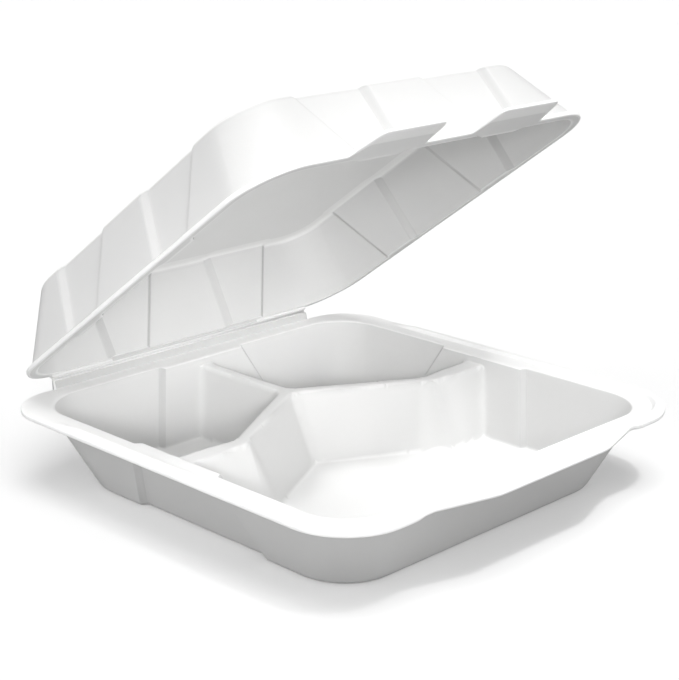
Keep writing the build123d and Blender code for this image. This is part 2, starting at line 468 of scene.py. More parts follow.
    def painted_shade_shares(self, rows: np.ndarray) -> tuple[np.ndarray, np.ndarray]:
        """How much shade is painted on the rings as a darker colour.

        Args:
            rows: Ring values.

        Returns:
            How much of the steepness counts as painted shade, most on the panels' edges,
            and the painted shade of the underside, both by ring and point.
        """
        sides, q = self.marks()
        edges = np.zeros(len(q))
        for side in Side:
            here = (sides == side.value) & (q >= 0)
            edges[here] = self.relief(side, q[here])[1]
        walls = (rows[:, PANEL] > 0.5)[:, None]
        strip = self.strip_painted_shade * self.on_strip()[None, :]
        # painted shade: walls darker, more on the panels' slanted edges, and the hinge strip's
        # upright faces
        steep = np.where(walls, 1.0 + self.edge_painted_shade * edges[None, :], strip)
        widest = int(np.argmax(rows[:, SIDE]))
        # painted shade on the rim's underside, past the rings of its edge
        under = (np.arange(len(rows)) > widest + EDGE_RINGS)[:, None] & ~walls
        return steep, self.under_painted_shade * under * np.ones_like(steep)

    def mesh(
        self, name: str, rows: np.ndarray, rings: list[np.ndarray], top: Heights, low: Heights,
    ) -> bpy.types.Object:
        """Closed mesh of a skin, with a painted-shade attribute that darkens its steep and
        downward faces.

        Args:
            name: Name of the object.
            rows: Ring values.
            rings: Points of the rings; the first and last are the two grids' borders.
            top: Gives the heights of the upper grid.
            low: Gives the heights of the lower grid.

        Returns:
            The object, in metres, with its place in its mesh.
        """
        grids = []
        for loop, heights in ((rings[0], top), (rings[-1], low)):
            plan = self.floor_grid(loop[:, :2])
            grids.append(np.dstack((plan, heights(plan[..., 0], plan[..., 1]))).reshape(-1, 3))
        walls = np.array(rings[1:-1])
        n, m = self.counts()
        bi, bj = self.border()
        loops = [bi * m + bj]
        start = n * m
        for _ in walls:
            loops.append(start + np.arange(len(bi)))
            start += len(bi)
        loops.append(start + bi * m + bj)
        points = np.vstack((grids[0], walls.reshape(-1, 3), grids[1]))
        i, j = np.meshgrid(np.arange(n - 1), np.arange(m - 1), indexing="ij")
        a = (i * m + j).ravel()
        top = np.column_stack((a, a + m, a + m + 1, a + 1))
        bottom = top[:, ::-1] + start
        faces = [top, bottom]
        for inner, outer in zip(loops[:-1], loops[1:]):
            faces.append(np.column_stack((inner, outer, np.roll(outer, -1), np.roll(inner, -1))))
        quads = np.vstack(faces)
        across = points[quads[:, 2]] - points[quads[:, 0]]
        along = points[quads[:, 3]] - points[quads[:, 1]]
        normals = np.zeros_like(points)
        for k in range(4):
            np.add.at(normals, quads[:, k], np.cross(across, along))
        normals /= np.linalg.norm(normals, axis=1, keepdims=True) + 1e-12
        # painted shade: steep faces get a darker colour than flat ones, as if in shade
        painted_shade = self.wall_painted_shade * (1.0 - smooth_step(np.abs(normals[:, 2]), *self.steep_from))
        steep, under = (part.ravel() for part in self.painted_shade_shares(rows[1:-1]))
        painted_shade[n * m:start] = np.clip(painted_shade[n * m:start] * steep + under, 0.0, 1.0)
        # painted shade on the lower grid, which is the lid's ceiling underside
        painted_shade[start:] = np.maximum(painted_shade[start:], self.lower_painted_shade)
        data = bpy.data.meshes.new(name)
        data.from_pydata((points * MM).tolist(), [], quads.tolist())
        data.validate()
        data.shade_smooth()
        data.normals_split_custom_set_from_vertices(normals.tolist())
        # the painted shade goes to the material as an attribute
        data.attributes.new("painted_shade", "FLOAT", "POINT").data.foreach_set("value", painted_shade)
        return placed(name, data)


@dataclass
class Tray(RingSkin):
    """Base tray: three compartments, panelled walls, rim bead, front lip, hinge strip.

    The fields that end in blend or round are heights over which two surfaces join.
    """

    rim_z: float = 38.3
    inner_half: float = 102.3
    floor_in: float = 7.0
    flange_half: float = 115.0
    flange_back: float = 111.6
    corner_radius: float = 24.0
    flange_low: float = 35.9
    bead_z: float = 40.1
    bead_fade: tuple[float, float] = (54.0, 73.0)
    lip_front: float = 125.3
    lip_z: float = 41.0
    lip_thick: float = 2.6
    lip_ramp: tuple[float, float] = (37.5, 68.5)
    lip_ramp_round: tuple[float, float] = (0.12, 0.06)
    lip_lift: tuple[float, float] = (66.0, 76.0)
    lip_knees: tuple[float, float] = (112.5, 118.0)
    lip_crown: float = 0.36
    lip_sag: float = 0.9
    lip_sag_from: float = 112.0
    strip_root: tuple[float, float] = (106.5, 109.0)
    strip_near: float = 111.3
    strip_far: float = 113.25
    strip_z: float = 42.3
    # painted shade of the hinge strip's upright faces
    strip_painted_shade: float = 1.6
    strip_cut: float = 0.1
    panel_half: float = 24.9
    panel_spread: float = 0.4
    panel_step: float = 2.7
    divider_z: float = 35.0
    divider_half: float = 2.8
    divider_end_half: float = 5.1
    divider_slope: float = 0.43
    junction: tuple[float, float] = (0.0, 38.6)
    bend_x: float = 62.6
    arm_end_y: float = 2.6
    divider_reach: float = 130.0
    divider_run_in: float = 2.2
    flare_start: float = 1.0
    flare_share: float = 0.25
    arm_blend: float = 9.0
    end_blend: float = 6.0
    wall_blend: float = 10.0
    gate_rise: float = 4.0
    top_round: float = 1.0
    side_round: float = 1.4
    foot_round: float = 3.4
    foot_fade: tuple[float, float] = (-0.5, 3.0)
    hollow_thinner: float = 1.86
    hollow_round: float = 3.0
    hollow_end_slope: float = 0.2
    hollow_end: float = 80.5
    bottom_half: float = 84.5
    ridge_band: tuple[float, float] = (-17.4, 22.6)
    stem_band: float = 20.0
    warp_fade: tuple[float, float] = (20.0, 77.0)

    def stations(self, side: Side) -> np.ndarray:
        """Points crowd at the divider, the panel edges and the ends of the hinge strip."""
        across, along = (even(3), (0.0,), even(12), even(5), even(8)), (even(14), even(5), even(6))
        return columns(across if side.across else along, 32)

    def knots(self, side: Side, ring: np.ndarray, low: float, high: float) -> np.ndarray:
        """Panel edges, divider band and strip ends along a side.

        Args:
            side: Side of the plan.
            ring: Values of the ring.
            low: Where the straight part starts.
            high: Where it ends.

        Returns:
            Increasing places from low to high.
        """
        below = np.clip(self.rim_z - ring[HEIGHT], 0.0, self.rim_z)
        edge = self.panel_half + self.panel_spread * below
        outer = edge + self.panel_step
        if side.across:
            end = high * self.strip_half / (self.flange_half - self.corner_radius)
            half = (self.stem_band, edge, outer, end - self.strip_cut, end + self.strip_cut, high)
            return np.array([*(-h for h in reversed(half)), *half])
        return np.array([low, -outer, -edge, *self.ridge_band, edge, outer, high])

    def panels(self, side: Side) -> tuple[tuple[int, int], ...]:
        """One panel on each wall but the front one."""
        return {Side.FRONT: (), Side.BACK: ((3, 8),)}.get(side, ((1, 6),))

    def warp(self, x: np.ndarray, y: np.ndarray) -> np.ndarray:
        """Floor lines follow the divider's arms.

        Args:
            x: Plan positions across.
            y: Plan positions along.

        Returns:
            Shift along Y of the grid's lines, in millimetres.
        """
        rise = self.junction[1] - self.arm_end_y
        line = self.arm_end_y + rise * np.clip(1.0 - np.abs(x) / self.bend_x, 0.0, 1.0)
        near, far = self.warp_fade
        fade = np.clip((np.abs(y - self.arm_end_y) - near) / (far - near), 0.0, 1.0)
        return (line - self.arm_end_y) * (1.0 - fade)

    @property
    def foot(self) -> float:
        """How far out the side walls meet the floor."""
        return self.inner_half - self.slope * (self.rim_z - self.foam)

    @staticmethod
    def square(out: float, height: float, radius: float, bend: float) -> Corner:
        """A corner of the floor or the walls, equally far out on all sides."""
        return Corner(out, out, out, height, radius, radius, bend, 1.0)

    def section(self) -> Section:
        """Section of the left, right and front walls and of the rim's rear corners.

        Returns:
            The section, from the floor to the underside.
        """
        run = self.foam * math.hypot(1.0, self.slope)
        outer_top = self.inner_half + run - self.slope * (self.rim_z - self.flange_low)
        outer_foot = self.inner_half + run - self.slope * self.rim_z
        rim, low, bead = self.rim_z, self.flange_low, self.bead_z
        wide, rear = self.flange_half, self.flange_back
        # how far in at the sides and at the back, height, radii at front and back, bend
        edge = (
            (5.9, 5.1, rim, 24.6, 19.0, 0.9), (4.4, 3.6, bead, 25.7, 20.2, 0.8),
            (2.5, 2.0, bead, 27.5, 21.6, 0.7), (2.0, 1.4, rim, 28.0, 22.2, 0.4),
            (0.0, 0.0, rim, 30.0, 24.0, 0.8), (0.0, 0.0, low, 30.0, 24.0, 0.8),
        )
        corners = (
            self.square(self.foot - self.floor_in, self.foam, 15, 0),
            self.square(self.foot, self.foam, 21, 4.0),
            self.square(self.inner_half, rim, 23, 2.0),
            *(Corner(wide - side, wide - side, rear - back, *rest) for side, back, *rest in edge),
            self.square(outer_top, low, 26, 1.4),
            self.square(outer_foot, 0.0, 25, 4.0),
            self.square(self.bottom_half, 0.0, 21, 0),
        )
        fills = (3, 15, 4, 1, 1, 0, 1, 1, 4, 9, 1)
        turns = (6, 6, 3, 3, 3, 3, 4, 4, 4, 6)
        return Section(corners, fills, turns)

    def ridge(self, x: np.ndarray, y: np.ndarray, top: float, thinner: float) -> np.ndarray:
        """Slanted flanks of the divider, carried on above its top.

        Args:
            x: Plan positions across.
            y: Plan positions along.
            top: Height at which a flank is a half width from the centre line.
            thinner: How much less the half widths are.

        Returns:
            Heights of the flanks.
        """
        half = self.divider_half - thinner
        narrow, wide = half + self.flare_start, self.divider_end_half - thinner
        distance, _ = to_segment(x, y, self.junction, (0.0, self.divider_reach))
        ramp = top + (half - distance) / self.divider_slope
        for turn in (-1, 1):
            bend = (turn * self.bend_x, self.arm_end_y)
            distance, _ = to_segment(x, y, self.junction, bend)
            arm = top + (half - distance) / self.divider_slope
            wall = (turn * self.divider_reach, self.arm_end_y)
            distance, share = to_segment(x, y, bend, wall)
            flare = smooth_step(share, 0.0, self.flare_share)
            grown = narrow + (wide - half - self.flare_start) * flare
            end = top + (grown - distance) / self.divider_slope
            ramp = smooth_max(ramp, smooth_max(arm, end, self.end_blend), self.arm_blend)
        return ramp

    def with_divider(
        self, x: np.ndarray, y: np.ndarray, plain: np.ndarray, wall: np.ndarray,
    ) -> np.ndarray:
        """Heights of the upper skin with the divider joined to floor and walls.

        Args:
            x: Plan positions across.
            y: Plan positions along.
            plain: Heights without the divider.
            wall: Heights of the walls' planes, carried on below the floor.

        Returns:
            The joined heights.
        """
        ramp = self.ridge(x, y, self.divider_z, 0.0)
        rise = smooth_max(wall, ramp, self.wall_blend) - wall
        gate = smooth_step(rise, 0.0, self.gate_rise)
        room = self.divider_z - wall
        extra = smooth_min(rise, room, self.top_round)
        soft = self.side_round * gate + LEAST_BLEND
        extra = 0.5 * (extra + np.sqrt(extra * extra + soft * soft)) - 0.5 * soft * (1 - gate)
        foot = self.foot_round * gate * smooth_step(room, *self.foot_fade) + LEAST_BLEND
        return smooth_max(plain, wall + extra, foot)

    def floor(self, x: np.ndarray, y: np.ndarray) -> np.ndarray:
        """Heights of the floor with the divider on it.

        Args:
            x: Plan positions across.
            y: Plan positions along.

        Returns:
            The heights.
        """
        out = np.maximum(np.abs(x), y)
        wall = self.foam - (self.foot - self.panel_depth - out) / self.slope
        return self.with_divider(x, y, np.full_like(x, self.foam), wall)

    def hollow(self, x: np.ndarray, y: np.ndarray) -> np.ndarray:
        """Heights of the underside below the divider.

        Args:
            x: Plan positions across.
            y: Plan positions along.

        Returns:
            The heights, zero away from the divider.
        """
        top = self.divider_z - self.foam
        soft, level = self.hollow_round, np.full_like(x, top)
        ramp = smooth_min(self.ridge(x, y, top, self.hollow_thinner), level, soft)
        for place in (x, y):
            end = (self.hollow_end - np.abs(place)) / self.hollow_end_slope
            ramp = smooth_min(ramp, end, soft)
        return smooth_max(ramp, np.zeros_like(x), soft)

    def weights(self, loop: np.ndarray) -> tuple[np.ndarray, ...]:
        """Shares of the front lip, its lift, the hinge strip and the bead round a ring.

        Args:
            loop: Plan points of the ring.

        Returns:
            The four shares at each point.
        """
        x, y = np.abs(loop[:, 0]), loop[:, 1]
        front = self.marks()[0] == Side.FRONT.value
        (low, high), (upper, lower) = self.lip_ramp, self.lip_ramp_round
        ramp = smooth_min(np.ones_like(x), np.clip((high - x) / (high - low), -1, 2), upper)
        ramp = np.where(front, smooth_max(ramp, np.zeros_like(x), lower), 0.0)
        lift = np.where(front, 1.0 - smooth_step(x, *self.lip_lift), 0.0)
        bead = 1.0 - smooth_step(y, *self.bead_fade)
        return ramp, lift, self.on_strip().astype(float), bead

    @staticmethod
    def moved_rows(section: Section, changes: dict[int, tuple[float, ...]]) -> np.ndarray:
        """Rings with some corners at another distance out, height and bend, by index."""
        return section.moved({
            i: {"front": out, "back": out, "height": height, "bend": bend}
            for i, (out, height, bend) in changes.items()
        }).rings()

    def build(self) -> bpy.types.Object:
        """Mesh of the whole tray.

        Returns:
            The tray's object.
        """
        main = self.section()
        low_edge = self.lip_z - self.lip_thick
        near, far, lip = self.strip_near, self.strip_far, self.lip_front
        strip_rows = self.moved_rows(main, {
            3: (self.strip_root[0], self.rim_z, 0.0), 4: (self.strip_root[1], self.rim_z, 0.0),
            5: (near, self.rim_z, 0.4), 6: (near, self.strip_z, 0.6),
            7: (far, self.strip_z, 0.6), 8: (far, self.flange_low, 0.6),
        })
        lip_rows = self.moved_rows(main, {
            5: (self.lip_knees[0], self.bead_z, 0.0),
            6: (self.lip_knees[1], self.bead_z + self.lip_crown, 0.0),
            7: (lip, self.lip_z, 1.1), 8: (lip, low_edge, 1.1),
        })
        rows = main.rings()
        upper_count = int(np.argmax(rows[:, SIDE] > self.inner_half + self.divider_run_in))
        rings = []
        for k, (row, strip_row, lip_row) in enumerate(zip(rows, strip_rows, lip_rows)):
            plan = self.ring_points(row)
            ramp, lift, on_strip, bead = self.weights(plan)
            lowered = np.where(row[HEIGHT] > self.rim_z, bead, 1.0)
            height = self.rim_z + (row[HEIGHT] - self.rim_z) * lowered
            to_lip = (self.ring_points(lip_row) - plan) * ramp[:, None]
            to_strip = (self.ring_points(strip_row) - plan) * on_strip[:, None]
            plan = plan + to_lip + to_strip
            sag = self.lip_sag * (1 - ramp) * (row[SIDE] > self.lip_sag_from)
            height = height + (lip_row[HEIGHT] - sag - height) * lift
            height = height + (strip_row[HEIGHT] - height) * on_strip
            if k < upper_count:
                wall = np.minimum(self.foam + (row[SIDE] - self.foot) / self.slope, height)
                height = self.with_divider(plan[:, 0], plan[:, 1], height, wall)
            rings.append(np.column_stack((plan, height)))
        return self.mesh("tray_shell", rows, rings, self.floor, self.hollow)


@dataclass
class Lid(RingSkin):
    """Domed lid: fluted walls, narrow rim, front tabs and its half of the hinge strip."""

    # painted shade of the ceiling underside and of the rim's underside
    lower_painted_shade: float = 0.26
    under_painted_shade: float = 0.45
    panel_depth: float = 2.8
    front_slope: float = 0.35
    angle: float = 35.88
    hinge_y: float = 113.45
    hinge_z: float = 42.45
    rim_low: float = 1.82
    rim_high: float = 4.02
    top_h: float = 39.0
    half: float = 107.4
    back: float = -1.0
    front: float = 218.0
    wall_half: float = 105.9
    wall_back: float = 0.6
    wall_front: float = 216.5
    strip_near: float = 0.25
    strip_far: float = 2.2
    strip_low: float = 0.35
    tab_front: float = 236.3
    tab_in: float = 15.0
    tab_tip_in: float = 17.8
    tab_tip_out: float = 55.5
    tab_out: float = 60.5
    tab_round: float = 3.4
    tab_root: float = 2.4
    tab_blend: float = 1.5
    top_in: float = 8.0
    top_share: float = 0.55
    flute_centre: float = 38.5
    flute_half: float = 9.5
    flute_spread: float = 0.25
    flute_step: float = 4.0

    @property
    def middle(self) -> float:
        """Middle of the plan, from the hinge line."""
        return (self.wall_back + self.wall_front) / 2

    def stations(self, side: Side) -> np.ndarray:
        """Points crowd at the flutes' edges, and across X also at the tabs' corners.

        Args:
            side: Side of the plan.

        Returns:
            The knot coordinates of its points.
        """
        flank = (0.0, 0.25, 0.5, 0.72, 0.84, 0.9, 0.95)
        tip = (0.0, 0.025, 0.05, 0.08, 0.2, 0.35, 0.5, 0.65, 0.8, 0.92, 0.95, 0.975)
        inner = (0.0, 0.05, 0.1, 0.16, 0.28, 0.5, 0.75)
        along = (even(7), even(6), even(8), even(6))
        outer = (even(7), flank, tip, inner) if side.across else along
        return columns(outer, 14)

    def knots(self, side: Side, ring: np.ndarray, low: float, high: float) -> np.ndarray:
        """Flute edges along a side, or the tabs' corners on the rim.

        Args:
            side: Side of the plan.
            ring: Values of the ring.
            low: Where the straight part starts.
            high: Where it ends.

        Returns:
            Increasing places from low to high.
        """
        rise = np.clip(ring[HEIGHT] - self.rim_low, 0.0, self.top_h)
        wide = self.flute_half + self.flute_spread * rise
        inner, outer = self.flute_centre - wide, self.flute_centre + wide
        half = np.array((inner - self.flute_step, inner, outer, outer + self.flute_step))
        if side is Side.FRONT and ring[HEIGHT] < self.rim_high + self.tab_blend:
            tab = np.array((self.tab_in, self.tab_tip_in, self.tab_tip_out, self.tab_out))
            half = tab + (half - tab) * ring[PANEL]
        return np.array((low, *-half[::-1], *half, high))

    def panels(self, side: Side) -> tuple[tuple[int, int], ...]:
        """Two flutes on each wall."""
        return (1, 4), (5, 8)

    def corner(
        self, side: float, back: float, front: float, height: float, radius: float,
        bend: float = 0.0, panel: float = 0.0,
    ) -> Corner:
        """A section corner, with its rear and front places measured from the hinge."""
        return Corner(
            side, front - self.middle, self.middle - back, height, radius, radius, bend, panel
        )

    def wall(self, height: float, inset: float) -> tuple[float, float, float]:
        """Half size, rear and front place of a wall skin at a height.

        Args:
            height: Height above the hinge line.
            inset: Thickness square to the wall between the outer skin and this one.

        Returns:
            Half size across X, rear place and front place.
        """
        rise = height - self.rim_low
        run = inset * math.hypot(1.0, self.slope) + self.slope * rise
        front_run = inset * math.hypot(1.0, self.front_slope) + self.front_slope * rise
        return self.wall_half - run, self.wall_back + run, self.wall_front - front_run

    def section(self) -> Section:
        """Section from the middle of the top, round the rim, to the middle inside.

        Returns:
            The section.
        """
        top, inside = self.top_h, self.top_h - self.foam
        top_side, top_back, top_front = self.wall(top, 0.0)
        in_side, in_back, in_front = self.wall(inside, self.foam)
        step, share = self.top_in, self.top_share
        # side, back, front, height, radius, bend, share of the flutes
        corners = (
            self.corner(top_side - step, top_back + step, top_front - step, top, 16, 0, share),
            self.corner(top_side, top_back, top_front, top, 22, 6.0, 1),
            self.corner(*self.wall(self.rim_high, 0.0), self.rim_high, 25.5, 1.2, 1),
            self.corner(self.half, self.back, self.front, self.rim_high, 27, 0.8),
            self.corner(self.half, self.back, self.front, self.rim_low, 27, 0.7),
            self.corner(self.half - 1.3, 0.4, self.front - 1.3, self.rim_low, 25.7),
            self.corner(self.half - 2.0, 1.1, self.front - 2.0, self.rim_low, 25.0),
            self.corner(*self.wall(self.rim_low, self.foam), self.rim_low, 22.9, 0.9, 1),
            self.corner(in_side, in_back, in_front, inside, 20, 4.5, 1),
            self.corner(in_side - step, in_back + step, in_front - step, inside, 14, 0, share),
        )
        return Section(corners, (3, 15, 1, 1, 1, 1, 1, 13, 3), (7, 4, 4, 4, 3, 3, 4, 6))

    def strip_section(self, section: Section) -> Section:
        """The section along the hinge strip.

        Args:
            section: Section of the plain rim.

        Returns:
            The section with the strip's corners.
        """
        half, radius = self.half, self.half - self.strip_half
        near, far, low = self.strip_near, self.strip_far, self.strip_low
        edge = {
            3: (near, self.rim_high, 0.5), 4: (near, low, 0.4),
            5: (far, low, 0.4), 6: (far, self.rim_low, 0.3),
        }
        changes = {
            i: {"side": half, "back": self.middle - back, "height": height,
                "radius_back": radius, "bend": bend}
            for i, (back, height, bend) in edge.items()
        }
        return section.moved(changes)

    def tab_reach(self, q: np.ndarray) -> tuple[np.ndarray, np.ndarray]:
        """Tab outline on the front rim over knot coordinates.

        Args:
            q: Knot coordinates of the front columns.

        Returns:
            Shares of the tabs' reach, and shifts along X toward a tab's middle.
        """
        reach, shift = np.zeros_like(q), np.zeros_like(q)
        long, tip = self.tab_front - self.front, self.tab_tip_out - self.tab_tip_in
        for first in (1.0, 5.0):
            on_tab = (q > first) & (q < first + 3)
            reach += np.clip(q - first, 0, 1) * np.clip(first + 3 - q, 0, 1) * on_tab
            for knot, turn in ((first + 1, 1.0), (first + 2, -1.0)):
                along = turn * (q - knot)
                before, after = self.tab_round / long, self.tab_round / tip
                s = np.clip((along + before) / (before + after), 0.0, 1.0)
                inside = (s > 0) & (s < 1)
                straight = np.where(along < 0, 1.0 + along, 1.0)
                reach += np.where(inside, bent(1 - before, 1.0, 1.0, s) - straight, 0.0)
                slide = s * s * self.tab_round
                plain = np.where(along > 0, along * tip, 0.0)
                shift += np.where(inside, turn * (slide - plain), 0.0)
        return reach, shift

    def build(self) -> bpy.types.Object:
        """Mesh of the whole lid, turned to the photographed opening.

        Returns:
            The lid's object.
        """
        main = self.section()
        rows, strip_rows = main.rings(), self.strip_section(main).rings()
        sides, q = self.marks()
        front = (sides == Side.FRONT.value) & (q >= 0)
        on_strip = ((sides == Side.BACK.value) & (q >= 0)).astype(float)
        reach, shift = self.tab_reach(q)
        rings = []
        for row, strip_row in zip(rows, strip_rows):
            plan, strip_plan = self.ring_points(row), self.ring_points(strip_row)
            plan = plan + (strip_plan - plan) * on_strip[:, None]
            height = row[HEIGHT] + (strip_row[HEIGHT] - row[HEIGHT]) * on_strip
            past_wall = row[SIDE] - self.wall(self.rim_high, 0.0)[0]
            share = np.clip(past_wall / self.tab_root, 0.0, 1.0)
            share = share if row[PANEL] < FULL_PANEL else 0.0
            plan[:, 1] -= np.where(front, reach * share * (self.tab_front - self.front), 0.0)
            plan[:, 0] += np.where(front, shift * share, 0.0)
            rings.append(np.column_stack((plan, height)))
        item = self.mesh(
            "lid_shell", rows, rings, lambda x, y: np.full_like(x, self.top_h),
            lambda x, y: np.full_like(x, self.top_h - self.foam),
        )
        item.data.transform(self.opened() @ Matrix.Translation((0, -self.middle * MM, 0)))
        return item

    def opened(self) -> Matrix:
        """Turn from the closed lid, hinge line on the X axis, to its place."""
        place = Matrix.Translation((0, self.hinge_y * MM, self.hinge_z * MM))
        return place @ Matrix.Rotation(math.radians(-self.angle), 4, "X")


@dataclass
class HingeWeb:
    """Thin creased foam that joins the two halves of the hinge strip."""

    half: float = 83.9
    base_z: float = 41.3
    base_y: float = 113.2
    lid_v: float = 0.3
    lid_h: float = 1.5
    thick: float = 0.3
    weld: float = 1e-6
    steps: int = 24

    def profile(self, lid: Lid) -> list[Vector]:
        """Points across the fold, from the base half to the lid half.

        Args:
            lid: The lid that the web joins.

        Returns:
            Points in the Y-Z plane, in metres.
        """
        turn = lid.opened()
        start = Vector((0, self.base_y * MM, self.base_z * MM))
        end = turn @ Vector((0, -self.lid_v * MM, self.lid_h * MM))
        pivot = Vector((0, lid.hinge_y * MM, lid.hinge_z * MM))
        return [bent(start, pivot, end, k / self.steps) for k in range(self.steps + 1)]

    def tree(self, material: bpy.types.Material) -> bpy.types.NodeTree:
        """Geometry nodes that sweep the fold along the hinge line.

        Args:
            material: Finish of the web.

        Returns:
            The node tree, with the half length and thickness as inputs.
        """
        tree = bpy.data.node_groups.new("hinge_web_sweep", "GeometryNodeTree")
        face = tree.interface
        face.new_socket("Geometry", in_out="INPUT", socket_type="NodeSocketGeometry")
        for name in ("Half Length", "Thickness"):
            face.new_socket(name, in_out="INPUT", socket_type="NodeSocketFloat")
        face.new_socket("Geometry", in_out="OUTPUT", socket_type="NodeSocketGeometry")
        nodes = wired(tree, {
            "start": "NodeGroupInput", "double": "ShaderNodeMath",
            "along": "ShaderNodeCombineXYZ", "spread": "GeometryNodeExtrudeMesh",
            "solid": "GeometryNodeExtrudeMesh", "flipped": "GeometryNodeFlipFaces",
            "joined": "GeometryNodeJoinGeometry", "weld": "GeometryNodeMergeByDistance",
            "shade": "GeometryNodeSetShadeSmooth", "real": "GeometryNodeRealizeInstances",
            "dress": "GeometryNodeSetMaterial", "finish": "NodeGroupOutput",
        }, (
            ("start", "Half Length", "double", 0), ("double", 0, "along", 0),
            ("start", "Geometry", "spread", "Mesh"), ("along", 0, "spread", "Offset"),
            ("spread", "Mesh", "solid", "Mesh"), ("start", "Thickness", "solid", "Offset Scale"),
            ("spread", "Mesh", "flipped", "Mesh"), ("solid", "Mesh", "joined", "Geometry"),
            ("flipped", "Mesh", "joined", "Geometry"), ("joined", 0, "weld", "Geometry"),
            ("weld", 0, "shade", 0), ("shade", 0, "real", 0),
            ("real", 0, "dress", "Geometry"), ("dress", 0, "finish", 0),
        ))
        nodes["double"].operation = "MULTIPLY"
        nodes["double"].inputs[1].default_value = 2.0
        nodes["spread"].mode = "EDGES"
        nodes["solid"].inputs["Individual"].default_value = False
        nodes["weld"].inputs["Distance"].default_value = self.weld
        nodes["dress"].inputs["Material"].default_value = material
        return tree

    def build(self, lid: Lid, material: bpy.types.Material) -> bpy.types.Object:
        """Mesh of the web.

        Args:
            lid: The lid that the web joins.
            material: Finish of the web.

        Returns:
            The web's object.
        """
        data = bpy.data.meshes.new("hinge_web_fold")
        points = [p - Vector((self.half * MM, 0, 0)) for p in self.profile(lid)]
        edges = [(k, k + 1) for k in range(len(points) - 1)]
        data.from_pydata([tuple(p) for p in points], edges, [])
        source = placed("hinge_web_fold", data)
        modifier = source.modifiers.new("sweep", "NODES")
        modifier.node_group = self.tree(material)
        sizes = {"Half Length": self.half * MM, "Thickness": self.thick * MM}
        for socket in modifier.node_group.interface.items_tree:
            if socket.name in sizes:
                modifier[socket.identifier] = sizes[socket.name]
        depsgraph = bpy.context.evaluated_depsgraph_get()
        swept = source.evaluated_get(depsgraph)
        mesh = bpy.data.meshes.new_from_object(swept, depsgraph=depsgraph)
        bpy.data.objects.remove(source)
        mesh.name = "hinge_web"
        return placed("hinge_web", mesh)


class FoamGroups:
    """Shader node groups that the foam finishes share."""

    @staticmethod
    def cells() -> bpy.types.ShaderNodeTree:
        """Closed foam cells under a smooth skin, clouding, and painted shade on steep and downward
        faces.

        Returns:
            A group with inputs for the scales and the painted shade, and outputs for the
            share of clouded skin and painted shade, and the height of the cells.
        """
        tree = bpy.data.node_groups.new("foam_cells", "ShaderNodeTree")
        face = tree.interface
        face.new_socket("Vector", in_out="INPUT", socket_type="NodeSocketVector")
        for name, value in (
            ("Cell Scale", 900.0), ("Cloud Scale", 28.0), ("Cell Relief", 0.5),
            ("Clouding", 0.1), ("Painted Shade", 0.0),
        ):
            socket = face.new_socket(name, in_out="INPUT", socket_type="NodeSocketFloat")
            socket.default_value = value
        face.new_socket("Clouding And Painted Shade", in_out="OUTPUT", socket_type="NodeSocketFloat")
        face.new_socket("Height", in_out="OUTPUT", socket_type="NodeSocketFloat")
        nodes = wired(tree, {
            "start": "NodeGroupInput", "cells": "ShaderNodeTexVoronoi",
            "clouds": "ShaderNodeTexNoise", "height": "ShaderNodeMath",
            "clouding_and_painted_shade": "ShaderNodeMath", "finish": "NodeGroupOutput",
        }, (
            ("start", "Vector", "cells", "Vector"), ("start", "Cell Scale", "cells", "Scale"),
            ("start", "Vector", "clouds", "Vector"), ("start", "Cloud Scale", "clouds", "Scale"),
            ("cells", "Distance", "height", 0), ("start", "Cell Relief", "height", 1),
            ("clouds", "Fac", "height", 2), ("clouds", "Fac", "clouding_and_painted_shade", 0),
            # the painted shade is added to the random clouding
            ("start", "Clouding", "clouding_and_painted_shade", 1), ("start", "Painted Shade", "clouding_and_painted_shade", 2),
            ("height", 0, "finish", "Height"), ("clouding_and_painted_shade", 0, "finish", "Clouding And Painted Shade"),
        ))
        nodes["height"].operation = nodes["clouding_and_painted_shade"].operation = "MULTIPLY_ADD"
        nodes["cells"].feature = "SMOOTH_F1"
        nodes["cells"].inputs["Smoothness"].default_value = 0.6
        nodes["clouds"].inputs["Detail"].default_value = 4.0
        nodes["clouds"].inputs["Roughness"].default_value = 0.55
        return tree


